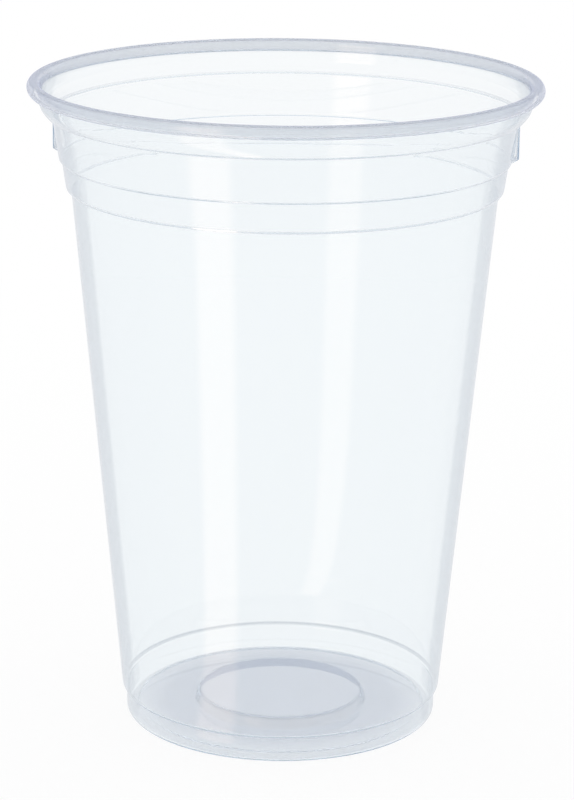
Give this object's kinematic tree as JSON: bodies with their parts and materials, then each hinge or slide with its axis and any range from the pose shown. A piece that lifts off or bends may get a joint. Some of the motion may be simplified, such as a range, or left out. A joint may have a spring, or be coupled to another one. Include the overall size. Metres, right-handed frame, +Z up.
{
  "type": "plastic disposable cup",
  "caption": "Tapered clear plastic drinking cup with a rolled rim, stepped stacking bands and lugs below it, and a raised base inside a foot ring.",
  "frame": {"origin": "centre of the foot ring, on the surface the cup stands on", "axes": "+Z up along the cup's axis to its mouth, +X through one of the stacking lugs"},
  "size_m": [0.095, 0.0948, 0.1226],
  "materials": {
    "clear_plastic": "clear, glossy, with a faint blue-grey haze"
  },
  "bodies": {
    "root": {"cup": "clear_plastic"}
  },
  "joints": []
}
